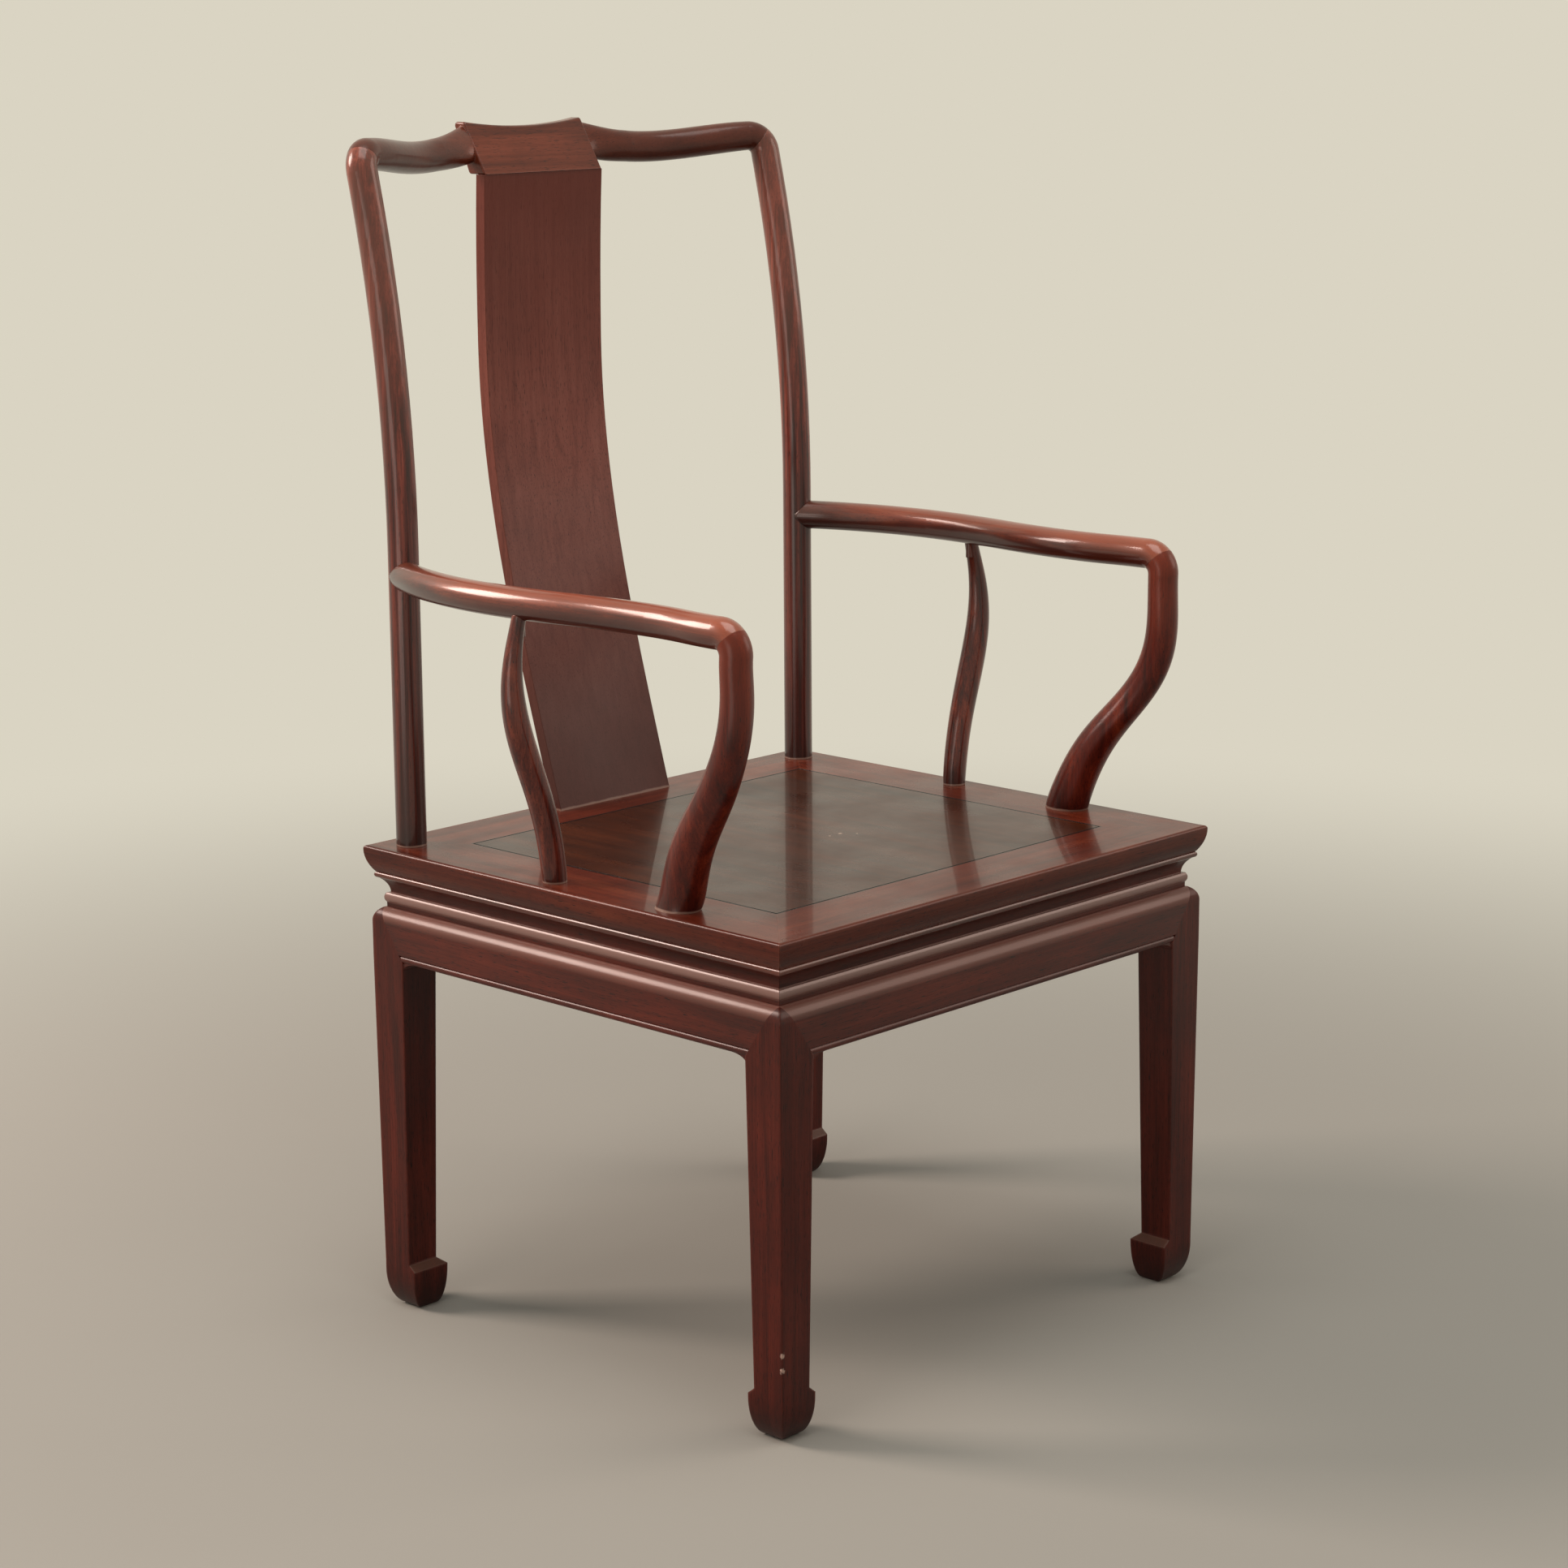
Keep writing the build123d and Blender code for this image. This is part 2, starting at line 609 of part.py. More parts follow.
# ---------------------------------------------------------------- crest rail
def across_rail(middle, plan_turn=0.0):
    """Upright plane across the crest rail: x is back, y is up."""
    return Plane(origin=middle, x_dir=(sin(plan_turn), cos(plan_turn), 0),
                 z_dir=(cos(plan_turn), -sin(plan_turn), 0))


def wing_section(plane, across, up, lean=0.0):
    """Round or oval section of a wing, tipped back by its lean."""
    with BuildSketch(plane) as section:
        Ellipse(across / 2, up / 2, rotation=-lean)
    return section.sketch


def headrest_section(x):
    """Section of the headrest: its foot on the splat, its top sinking between the two horns."""
    length = headrest_mid_l + (headrest_l - headrest_mid_l) * (x / headrest_x) ** 2
    top = headrest_slope * length
    with BuildSketch(across_rail(Vector(x, splat_head.Y - headrest_step, splat_head.Z))) as section:
        with BuildLine():
            FilletPolyline((0, 0), (top.Y, top.Z), (top.Y + headrest_top_t, top.Z), (headrest_foot_t, 0),
                           (headrest_foot_t / 2, 0), radius=headrest_round)
            Line((headrest_foot_t / 2, 0), (0, 0))
        make_face()
    return section.sketch


def shoulder_section(share):
    """Section of the rail part of the way from the low point of the wing to the headrest."""
    swell = share ** shoulder_hold
    behind = headrest_slope.cross(Vector(1, 0, 0))
    face_foot = Vector(headrest_x - horn_margin, splat_head.Y - headrest_step, splat_head.Z)
    horn = (face_foot + headrest_slope * (headrest_l - horn_margin - horn_wing_l / 2)
            + behind * (horn_margin + horn_wing_t / 2))
    level = wing_dip + (Vector(horn.X, horn.Y, wing_dip.Z) - wing_dip) * share
    middle = level + BACK * wing_bulge * share * (1 - share) + UP * (horn.Z - wing_dip.Z) * swell
    return wing_section(across_rail(middle, wing_turn * shoulder_turn * (1 - share)),
                        wing_d + (horn_wing_t - wing_d) * swell, wing_d + (horn_wing_l - wing_d) * swell,
                        headrest_lean * swell)


wing_turn = asin(wing_run.Y)
wing_end = Plane(origin=wing_start, x_dir=wing_run.cross(UP), z_dir=-wing_run)
wing = [
    wing_section(wing_end, post_d, post_d),
    wing_section(across_rail((wing_start + wing_dip) / 2, wing_turn), wing_d, wing_d),
    wing_section(across_rail(wing_dip, wing_turn * dip_turn), wing_d, wing_d),
    shoulder_section(shoulder_shares[0]),
]
shoulder = [shoulder_section(share) for share in shoulder_shares]

with BuildPart() as headrest:
    loft([headrest_section(headrest_x * share) for share in (1, 0.5, 0, -0.5, -1)])
    ends = headrest.faces().filter_by(Axis.X)
    fillet(ends.edges(), headrest_end_round)

with BuildPart() as crest:
    with BuildLine() as bend:
        TangentArc(post_elbow, wing_start, tangent=post_rise)
    with BuildSketch(Plane(origin=post_elbow, z_dir=post_rise)):
        Circle(post_d / 2)
    sweep(path=bend.wire())
    split(bisect_by=post_mitre, keep=Keep.TOP)
    loft(wing)
    loft(shoulder)
    add(pin(post_pin, post_rise, -pipe_tenon_d, pipe_tenon + joint_clearance,
            pipe_tenon_d + 2 * joint_clearance), mode=Mode.SUBTRACT)
    mirror(about=Plane.YZ)
    add(headrest.part)
    add(splat_tongue(joint_clearance), mode=Mode.SUBTRACT)
pieces["crest_rail"] = crest

# ---------------------------------------------------------------- arms
with BuildPart() as arm:
    with BuildLine() as axis:
        TangentArc(goose_elbow, arm_start, tangent=UP)
        front_middle = (arm_start + arm_waist) / 2
        TangentArc(arm_start, front_middle, tangent=BACK)
        TangentArc(arm_waist, front_middle, tangent=-BACK)
        side_middle = (arm_waist + arm_bow) / 2
        TangentArc(arm_waist, side_middle, tangent=BACK)
        TangentArc(arm_bow, side_middle, tangent=-BACK)
        TangentArc(arm_bow, arm_seat, tangent=BACK)
    with BuildSketch(Plane(origin=goose_elbow, z_dir=UP)):
        Circle(arm_d / 2)
    sweep(path=axis.wire())
    split(bisect_by=goose_mitre, keep=Keep.TOP)
    add(pin(arm_seat, UP, -arm_d, arm_d, post_d + 2 * scribe_gap), mode=Mode.SUBTRACT)
    add(pin(arm_seat, -arm_entry, post_d / 2 - arm_tenon, post_d, pipe_tenon_d))
    add(pin(goose_pin, UP, -pipe_tenon_d, pipe_tenon + joint_clearance,
            pipe_tenon_d + 2 * joint_clearance), mode=Mode.SUBTRACT)

# ---------------------------------------------------------------- goosenecks
with BuildPart() as gooseneck:
    with BuildLine() as bend:
        TangentArc(goose_elbow, arm_start, tangent=UP)
    with BuildSketch(Plane(origin=goose_elbow, z_dir=UP)):
        Circle(arm_d / 2)
    sweep(path=bend.wire())
    split(bisect_by=goose_mitre, keep=Keep.BOTTOM)
    with BuildSketch(Plane(origin=goose_foot, z_dir=UP)):
        Ellipse(goose_foot_w / 2, goose_foot_depth / 2)
    for rise, out, forward, width, depth in goose_curve:
        with BuildSketch(Plane(origin=goose_foot + Vector(out, -forward, rise), z_dir=UP)):
            Ellipse(width / 2, depth / 2)
    for below in (elbow_r, 0):
        with BuildSketch(Plane(origin=goose_elbow - UP * below, z_dir=UP)):
            Circle(arm_d / 2)
    loft()
    add(pin(goose_pin, UP, -pipe_tenon_d, pipe_tenon, pipe_tenon_d))
    add(pin(goose_foot, -UP, 0, post_tenon, tenon_d))
pieces["gooseneck_right"] = gooseneck
pieces["gooseneck_left"] = other_side(gooseneck)

# ---------------------------------------------------------------- side posts
side_head = Vector(arm_side_x + side_head_out, side_foot.Y + side_curve[-1][2], arm_z)
with BuildPart() as side_post:
    with BuildSketch(Plane(origin=side_foot, z_dir=UP)):
        Circle(side_foot_d / 2)
    for rise, out, back, d in side_curve:
        with BuildSketch(Plane(origin=side_foot + Vector(out, back, rise), z_dir=UP)):
            Circle(d / 2)
    with BuildSketch(Plane(origin=side_head, z_dir=UP)):
        Circle(side_head_d / 2)
    loft()
    add(arm.part, mode=Mode.SUBTRACT)
    add(pin(side_head, UP, -arm_d, 0, side_head_tenon_d))
    add(pin(side_foot, -UP, 0, post_tenon, side_tenon_d))
pieces["side_post_right"] = side_post
pieces["side_post_left"] = other_side(side_post)

with BuildPart() as bored_arm:
    add(arm.part)
    add(pin(side_head, UP, -arm_d, joint_clearance, side_head_tenon_d + 2 * joint_clearance),
        mode=Mode.SUBTRACT)
pieces["armrest_right"] = bored_arm
pieces["armrest_left"] = other_side(bored_arm)

# ---------------------------------------------------------------- pieces, moved to the chair's origin
crest_back = crest.part.bounding_box().max.Y
to_origin = Location((0, (seat_d / 2 - crest_back) / 2, 0))
os.makedirs("parts", exist_ok=True)
for name, piece in pieces.items():
    placed = piece.part.moved(to_origin)
    placed.label = name
    export_step(placed, f"parts/{name}.step")
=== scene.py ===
# %% [markdown]
# # A Ming-style official's armchair in polished rosewood
#
# The chair's solids come ready made: four mitred seat rails around a floating panel, waists, aprons,
# four legs with horse-hoof feet, round posts, a bent splat, a yoke-shaped crest rail and two arms on
# goosenecks. This lesson gives them their finish. One dense wood is used throughout, so what tells the
# pieces apart is the way the grain runs in each, how deep its stain has gone and how much hands have
# rubbed it.

# %% Load the chair as a fixed frame
from math import pi, radians
import bpy
from mathutils import Matrix, Vector


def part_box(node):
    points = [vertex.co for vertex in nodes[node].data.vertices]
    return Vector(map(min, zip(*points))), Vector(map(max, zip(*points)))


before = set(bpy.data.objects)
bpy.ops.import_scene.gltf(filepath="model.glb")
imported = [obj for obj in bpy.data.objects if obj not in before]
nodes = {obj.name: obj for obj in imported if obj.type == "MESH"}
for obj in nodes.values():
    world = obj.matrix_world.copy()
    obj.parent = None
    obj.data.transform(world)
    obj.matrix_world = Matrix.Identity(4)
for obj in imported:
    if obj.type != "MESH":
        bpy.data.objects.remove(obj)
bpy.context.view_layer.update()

# %% [markdown]
# ## Camera
# The camera looks down across the chair's left front corner from standing height. A long lens, far off,
# keeps the verticals of a tall chair nearly parallel. Its place is given as on a set: where the tripod
# stands, the heading, the tilt and a trace of roll.

# %% Set up the camera
tripod = (-2.3897, -2.3111, 1.2234)
heading, tilt, roll = radians(46.47), radians(12.41), radians(-0.38)
lens = bpy.data.cameras.new("long_lens")
lens.lens = 82.79
lens.sensor_width = 36.0
lens.clip_end = 1000.0
camera = bpy.data.objects.new("camera", lens)
bpy.context.scene.collection.objects.link(camera)
turn = (Matrix.Rotation(-heading, 4, "Z") @ Matrix.Rotation(pi / 2 - tilt, 4, "X")
        @ Matrix.Rotation(roll, 4, "Z"))
camera.matrix_world = Matrix.Translation(tripod) @ turn
bpy.context.scene.camera = camera
print("camera at", tripod, "with a lens of", lens.lens, "mm")

# %% [markdown]
# ## Colours and nodes
# Colours are written as they look on a screen, in sRGB hex, and shaders work in linear light, so one
# function turns the one into the other. A second small function adds a node, sets its values and plugs
# in its links, which keeps each pattern below to a few lines.


# %% Two helpers
def linear(hex_colour):
    """sRGB hex to a linear RGBA colour."""
    channels = [int(hex_colour[i:i + 2], 16) / 255 for i in (1, 3, 5)]
    return [c / 12.92 if c <= 0.04045 else ((c + 0.055) / 1.055) ** 2.4 for c in channels] + [1.0]


def add(tree, kind, settings=None, **links):
    """Adds a node. Settings are its own values. Links name an input, or give its number after an
    underscore, and hold a value or another node's output."""
    node = tree.nodes.new(kind)
    for key, value in (settings or {}).items():
        setattr(node, key, value)
    for key, value in links.items():
        socket = node.inputs[int(key[1:])] if key[1:].isdigit() else node.inputs[key.replace("_", " ")]
        if isinstance(value, bpy.types.NodeSocket):
            tree.links.new(value, socket)
        else:
            socket.default_value = value
    return node


print("#6c2614 on a screen is", [round(c, 3) for c in linear("#6c2614")], "in linear light")

# %% [markdown]
# ## Rosewood
# Rosewood is heavy and close-grained. Three things show in it: a broad figure of darker and redder
# bands, fine lines that run with the grain, and open pores that look like short dark scratches. A
# painted texture could give all three, but would have to be wrapped round every bent piece. Here each is
# a noise in the wood's own space, squeezed across the grain and stretched along it, so that its size can
# be given in millimetres and the pattern runs through a piece as it does through a plank.


# %% A noise stretched along the grain
X, Y, Z = 0, 1, 2


def streaks(tree, at, along, width_mm, length_mm, **settings):
    """Noise whose spots are streaks of this width and length, along the axis X, Y or Z."""
    scale = [1000 / width_mm] * 3
    scale[along] = 1000 / length_mm
    place = add(tree, "ShaderNodeMapping", Vector=at, Scale=scale).outputs["Vector"]
    return add(tree, "ShaderNodeTexNoise", Vector=place, Scale=1.0, **settings).outputs["Fac"]


# %% The colour of the wood
def grain(tree, at, along, deep, brown, glow, figure_mm, spread):
    """Figure, lines and pores of rosewood: gives its colour and the mask of its pores."""
    figure = streaks(tree, at, along, figure_mm, 240, Detail=3.0, Distortion=0.6)
    lines = streaks(tree, at, along, 1.8, 130, Detail=6.0, Roughness=0.65)
    both = add(tree, "ShaderNodeMix", {"data_type": "FLOAT"}, Factor=0.4, _2=figure,
               _3=lines).outputs[0]
    ramp = add(tree, "ShaderNodeValToRGB", Fac=both)
    first, last = ramp.color_ramp.elements
    first.position, first.color = 0.5 - spread, linear(deep)
    last.position, last.color = 0.5 + spread, linear(glow)
    ramp.color_ramp.elements.new(0.5).color = linear(brown)
    # Stain takes unevenly, in soft patches a hand wide.
    patches = add(tree, "ShaderNodeTexNoise", Vector=at, Scale=9.0, Detail=4.0,
                  Roughness=0.6).outputs["Fac"]
    uneven = add(tree, "ShaderNodeMapRange", Value=patches, From_Min=0.42, From_Max=0.72,
                 To_Max=0.45).outputs[0]
    stained = add(tree, "ShaderNodeMix", {"data_type": "RGBA"}, Factor=uneven, _6=ramp.outputs["Color"],
                  _7=linear(deep)).outputs[2]
    # Pores are 0.2 mm wide on the wood and drawn 0.6 mm wide, so that they show.
    noise = streaks(tree, at, along, 0.6, 10, Detail=2.0)
    pores = add(tree, "ShaderNodeMapRange", Value=noise, From_Min=0.60, From_Max=0.69).outputs[0]
    black = [0.35 * c for c in linear(deep)[:3]] + [1.0]
    colour = add(tree, "ShaderNodeMix", {"data_type": "RGBA"}, Factor=pores, _6=stained,
                 _7=black).outputs[2]
    return colour, pores


# %% [markdown]
# Years of handling take the stain off the arrises, the sharp meeting lines of two faces, and leave it in
# the hollows. A Bevel node gives the normal that a rounded edge would have. Where that leaves the true
# normal there is an arris, so the difference between the two says where the wood is rubbed bare, with no
# need to mark edges by hand. A noise breaks the bare line into patches.


# %% Rubbed arrises
def rubbed(tree, at, colour, bare, radius_mm, amount, free):
    """Lays the colour of bare wood on the arrises that stand free, in broken patches."""
    edge = add(tree, "ShaderNodeBevel", {"samples": 6}, Radius=radius_mm / 1000).outputs["Normal"]
    true = add(tree, "ShaderNodeNewGeometry").outputs["Normal"]
    alike = add(tree, "ShaderNodeVectorMath", {"operation": "DOT_PRODUCT"}, _0=edge,
                _1=true).outputs["Value"]
    near = add(tree, "ShaderNodeMapRange", Value=alike, From_Min=0.985, From_Max=0.90).outputs[0]
    broken = add(tree, "ShaderNodeTexNoise", Vector=at, Scale=45.0, Detail=5.0,
                 Roughness=0.7).outputs["Fac"]
    kept = add(tree, "ShaderNodeMapRange", Value=broken, From_Min=0.35, From_Max=0.62,
               To_Max=amount).outputs[0]
    worn = add(tree, "ShaderNodeMath", {"operation": "MULTIPLY"}, _0=near, _1=kept).outputs[0]
    worn = add(tree, "ShaderNodeMath", {"operation": "MULTIPLY"}, _0=worn, _1=free).outputs[0]
    return add(tree, "ShaderNodeMix", {"data_type": "RGBA"}, Factor=worn, _6=colour,
               _7=linear(bare)).outputs[2]


# %% [markdown]
# The finish is rubbed varnish over stained wood. The colour lies under a clear coat, so the shader has
# two glosses: a duller one from the wood and a sharper one from the coat. Hand-planed wood isn't quite
# true, and long shallow ripples along the grain break the highlights of the round members into lines.
# Both are normals only, because the ripples are a few hundredths of a millimetre deep. The same Bevel
# node as above softens the arris to the eye.


# %% Varnish
def varnish(tree, at, along, colour, pores, arris_mm, ripple_mm, ripple, roughness, shine, coat,
            coat_roughness, free):
    """The polished surface over the colour. Ripple is the depth of the ripples in millimetres."""
    patches = add(tree, "ShaderNodeTexNoise", Vector=at, Scale=14.0, Detail=3.0).outputs["Fac"]
    gloss = add(tree, "ShaderNodeMapRange", Value=patches, From_Min=0.3, From_Max=0.7,
                To_Min=roughness - 0.06, To_Max=roughness + 0.10).outputs[0]
    radius = add(tree, "ShaderNodeMath", {"operation": "MULTIPLY"}, _0=free,
                 _1=arris_mm / 1000).outputs[0]
    edge = add(tree, "ShaderNodeBevel", {"samples": 6}, Radius=radius).outputs["Normal"]
    wave = streaks(tree, at, along, ripple_mm, 260, Detail=1.0)
    planed = add(tree, "ShaderNodeBump", Height=wave, Distance=ripple / 1000, Strength=1.0,
                 Normal=edge).outputs["Normal"]
    # The varnish fills the pores almost level, so they dent the wood under it and not the coat.
    pitted = add(tree, "ShaderNodeBump", {"invert": True}, Height=pores, Distance=0.00004, Strength=0.25,
                 Normal=planed).outputs["Normal"]
    surface = add(tree, "ShaderNodeBsdfPrincipled", Base_Color=colour, Roughness=gloss, IOR=1.5,
                  Specular_IOR_Level=shine, Normal=pitted, Coat_Weight=coat,
                  Coat_Roughness=coat_roughness, Coat_Normal=planed)
    add(tree, "ShaderNodeOutputMaterial", Surface=surface.outputs["BSDF"])


# %% [markdown]
# One function puts these layers together for every kind of piece. Three of its values may be small
# functions of their own. Story adds layers of colour that belong to one place on the chair,
# standing_free says where an arris is open to wear, and polish says where the coat is thick.


# %% The rosewood material
def rosewood(name, along, deep, brown, glow, bare="#8a4a35", figure_mm=16.0, spread=0.20, wear_mm=2.5,
             wear=0.5, arris_mm=1.1, ripple_mm=9.0, ripple=0.12, roughness=0.36, shine=0.12, coat=0.35,
             coat_roughness=0.12, story=None, standing_free=None, polish=None):
    """Stained and polished rosewood with its grain along the axis X, Y or Z."""
    material = bpy.data.materials.new(name)
    material.use_nodes = True
    tree = material.node_tree
    tree.nodes.clear()
    at = add(tree, "ShaderNodeTexCoord").outputs["Object"]
    colour, pores = grain(tree, at, along, deep, brown, glow, figure_mm, spread)
    free = standing_free(tree, at) if standing_free else 1.0
    colour = rubbed(tree, at, colour, bare, wear_mm, wear, free)
    if story:
        colour = story(tree, at, colour)
    if polish:
        coat = polish(tree, at)
    varnish(tree, at, along, colour, pores, arris_mm, ripple_mm, ripple, roughness, shine, coat,
            coat_roughness, free)
    return material


def finish(names, material):
    """Puts one material on every slot of the named pieces."""
    for name in names:
        for slot in nodes[name].material_slots:
            slot.material = material
    print(material.name, "on", ", ".join(names))


# %% [markdown]
# ## Places on the chair
# Dirt, wax and wear gather in certain places, and painted shade and painted highlights go in others: a
# groove, a bead, the foot of a post. All pieces share one space, so each place can be found by its height
# or by its distance from the middle of the seat, and both are read off the pieces' own boxes. Four
# helpers turn a place into a mask or a layer of colour.

# %% Heights to measure from
panel_low, panel_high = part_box("seat_panel")
seat_middle = (Vector(panel_low) + Vector(panel_high)) / 2
seat_top = panel_high[Z]
rail_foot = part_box("seat_rail_front")[0][Z]
waist_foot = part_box("waist_front")[0][Z]
apron_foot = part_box("apron_front")[0][Z]
print("middle of the seat at", [round(v, 4) for v in seat_middle], "and its top at", round(seat_top, 4))
print("rails, waists and aprons end at", [round(v, 4) for v in (rail_foot, waist_foot, apron_foot)])


# %% Masks from a place
def height_of(tree, at):
    return add(tree, "ShaderNodeSeparateXYZ", Vector=at).outputs[Z]


def band(tree, at, low, high, soft=0.0006):
    """1 between two heights and 0 elsewhere."""
    height = height_of(tree, at)
    above = add(tree, "ShaderNodeMapRange", Value=height, From_Min=low - soft,
                From_Max=low + soft).outputs[0]
    below = add(tree, "ShaderNodeMapRange", Value=height, From_Min=high + soft,
                From_Max=high - soft).outputs[0]
    return add(tree, "ShaderNodeMath", {"operation": "MULTIPLY"}, _0=above, _1=below).outputs[0]


def beyond(tree, at, half_width, half_depth, which):
    """How far a place lies outside a rectangle about the middle of the seat. Which is MAXIMUM where
    being past one side is enough, and MINIMUM where it has to be past two, as at a corner."""
    out = add(tree, "ShaderNodeVectorMath", {"operation": "SUBTRACT"}, _0=at, _1=seat_middle).outputs[0]
    out = add(tree, "ShaderNodeVectorMath", {"operation": "ABSOLUTE"}, _0=out).outputs[0]
    out = add(tree, "ShaderNodeVectorMath", {"operation": "SUBTRACT"}, _0=out,
              _1=(half_width, half_depth, 0.0)).outputs[0]
    out = add(tree, "ShaderNodeSeparateXYZ", Vector=out).outputs
    return add(tree, "ShaderNodeMath", {"operation": which}, _0=out[X], _1=out[Y]).outputs[0]


# %% Layers of colour in one place
def between(tree, at, axis, start, end, colour, layer, amount=1.0, ragged_mm=0.0):
    """Fades a layer in from start to end along one axis, in metres, with a ragged edge."""
    place = add(tree, "ShaderNodeSeparateXYZ", Vector=at).outputs[axis]
    shaky = add(tree, "ShaderNodeTexNoise", Vector=at, Scale=60.0, Detail=3.0).outputs["Fac"]
    moved = add(tree, "ShaderNodeMath", {"operation": "MULTIPLY_ADD"}, _0=shaky, _1=ragged_mm / 500,
                _2=place).outputs[0]
    # The noise is 0.5 on average, which moves the place by this much.
    start, end = start + ragged_mm / 1000, end + ragged_mm / 1000
    mask = add(tree, "ShaderNodeMapRange", Value=moved, From_Min=start, From_Max=end,
               To_Max=amount).outputs[0]
    return add(tree, "ShaderNodeMix", {"data_type": "RGBA"}, Factor=mask, _6=colour,
               _7=linear(layer)).outputs[2]


def nick(tree, at, place, size_mm, colour, layer):
    """A small chip or scuff with a torn edge, pale where the finish has gone."""
    shaky = add(tree, "ShaderNodeTexNoise", Vector=at, Scale=350.0, Detail=2.0).outputs["Fac"]
    far = add(tree, "ShaderNodeVectorMath", {"operation": "DISTANCE"}, _0=at, _1=place).outputs["Value"]
    size = size_mm / 1000
    torn = add(tree, "ShaderNodeMath", {"operation": "MULTIPLY_ADD"}, _0=shaky, _1=size,
               _2=far).outputs[0]
    mask = add(tree, "ShaderNodeMapRange", Value=torn, From_Min=size, From_Max=0.8 * size).outputs[0]
    return add(tree, "ShaderNodeMix", {"data_type": "RGBA"}, Factor=mask, _6=colour,
               _7=linear(layer)).outputs[2]


# %% [markdown]
# ## Seat frame
# Four rails meet in mitres round the panel. Grain runs along the length of a piece of wood, so the front
# and back rails need theirs along X and the side rails along Y, and the change of direction shows the
# mitre. The open line between frame and panel is painted dark, a painted shade in the gap. The bead along
# the foot of the rails' outer edge sticks out a little and is rubbed brighter than the rest, so the coat
# is thick there.

# %% Seat rails
grain_runs = ((("front", "back"), X), (("left", "right"), Y))
tongue = 0.0092  # of the panel, hidden in the frame's groove
groove_half_width, groove_half_depth = (panel_high[axis] - seat_middle[axis] - tongue for axis in (X, Y))
print("groove", round(2 * groove_half_width, 4), "by", round(2 * groove_half_depth, 4))


def painted_gap_shade(tree, at, colour, start, end):
    """Painted shade along the line between frame and panel, from start to end outside the panel's visible
    edge.
    """
    out = beyond(tree, at, groove_half_width, groove_half_depth, "MAXIMUM")
    mask = add(tree, "ShaderNodeMapRange", Value=out, From_Min=start, From_Max=end).outputs[0]
    return add(tree, "ShaderNodeMix", {"data_type": "RGBA"}, Factor=mask, _6=colour,
               _7=linear("#140806")).outputs[2]


# Painted shade on the frame's side of the gap.
def frame_groove(tree, at, colour):
    return painted_gap_shade(tree, at, colour, 0.0028, 0.0018)


def seat_bead(tree, at):
    bead = band(tree, at, rail_foot - 0.0010, rail_foot + 0.0065)
    return add(tree, "ShaderNodeMapRange", Value=bead, To_Min=0.32, To_Max=1.0).outputs[0]


for sides, along in grain_runs:
    finish(["seat_rail_" + side for side in sides],
           rosewood("seat_frame_rosewood_grain_" + "xyz"[along], along, "#3c120a", "#6a2a19", "#864028",
                    ripple=0.04, arris_mm=0.5, roughness=0.28, coat_roughness=0.05, story=frame_groove,
                    polish=seat_bead))

# %% [markdown]
# ## Waists
# The waist is the narrow member under the seat: a cove above and a half-round moulding below. Cloths
# reach the moulding and not the cove, so the moulding is polished and the cove keeps little varnish. The
# moulding is also painted paler, a painted highlight with some rubbed wear, and the cove stays dark. A
# mask by height gives both, for the colour and for the coat.

# %% Waists
moulding_foot, moulding_top = waist_foot + 0.0045, waist_foot + 0.0135
print("moulding from", round(moulding_foot, 4), "to", round(moulding_top, 4))


def painted_highlight_band(tree, at, colour, low, high, layer, amount, soft=0.0006):
    """Wood painted paler between two heights: a painted highlight, with some rubbed wear."""
    mask = add(tree, "ShaderNodeMath", {"operation": "MULTIPLY"}, _0=band(tree, at, low, high, soft),
               _1=amount).outputs[0]
    return add(tree, "ShaderNodeMix", {"data_type": "RGBA"}, Factor=mask, _6=colour,
               _7=linear(layer)).outputs[2]


# Painted highlight on the moulding, with some rubbed wear.
def moulding_painted_highlight(tree, at, colour):
    return painted_highlight_band(tree, at, colour, moulding_foot, moulding_top + 0.0005, "#9c766c", 0.85)


def polished_moulding(tree, at):
    return add(tree, "ShaderNodeMapRange", Value=band(tree, at, moulding_foot, moulding_top), To_Min=0.15,
               To_Max=1.0).outputs[0]


for sides, along in grain_runs:
    finish(["waist_" + side for side in sides],
           rosewood("waist_rosewood_grain_" + "xyz"[along], along, "#2c0c06", "#521c11", "#6c2a1b",
                    ripple=0.04, arris_mm=0.6, wear=0.2, shine=0.2, coat_roughness=0.26,
                    story=moulding_painted_highlight, polish=polished_moulding))

# %% [markdown]
# ## Aprons
# Each apron swells from the waist into a sloped face with a bead along its lower edge. Its shoulder faces
# up and is painted paler: a painted highlight, with some rubbed wear. The aprons meet the legs in tight
# mitres, where a rounded or worn arris would draw a pale line that a good joint doesn't have, so theirs
# are left sharp.


# %% Aprons
# Painted highlight along the apron's shoulder, with some rubbed wear.
def shoulder_painted_highlight(tree, at, colour):
    return painted_highlight_band(tree, at, colour, waist_foot - 0.011, waist_foot + 0.003, "#8c6054", 0.65,
                       soft=0.003)


for sides, along in grain_runs:
    finish(["apron_" + side for side in sides],
           rosewood("apron_rosewood_grain_" + "xyz"[along], along, "#340e08", "#5c1e12", "#7a2f1e",
                    ripple=0.06, arris_mm=0.0, wear=0.0, coat=0.5, coat_roughness=0.20,
                    story=shoulder_painted_highlight))

# %% [markdown]
# ## Seat panel and battens
# The panel is one wide board that floats in the frame's groove. It lies in full view and has been wiped
# for years, so it is browner than its frame and shines almost like a mirror, with three small scuff marks
# where something hard was set down. Its edge is painted dark along the gap to the frame, a painted shade.
# The two battens under it are never polished and stay pale and dry.

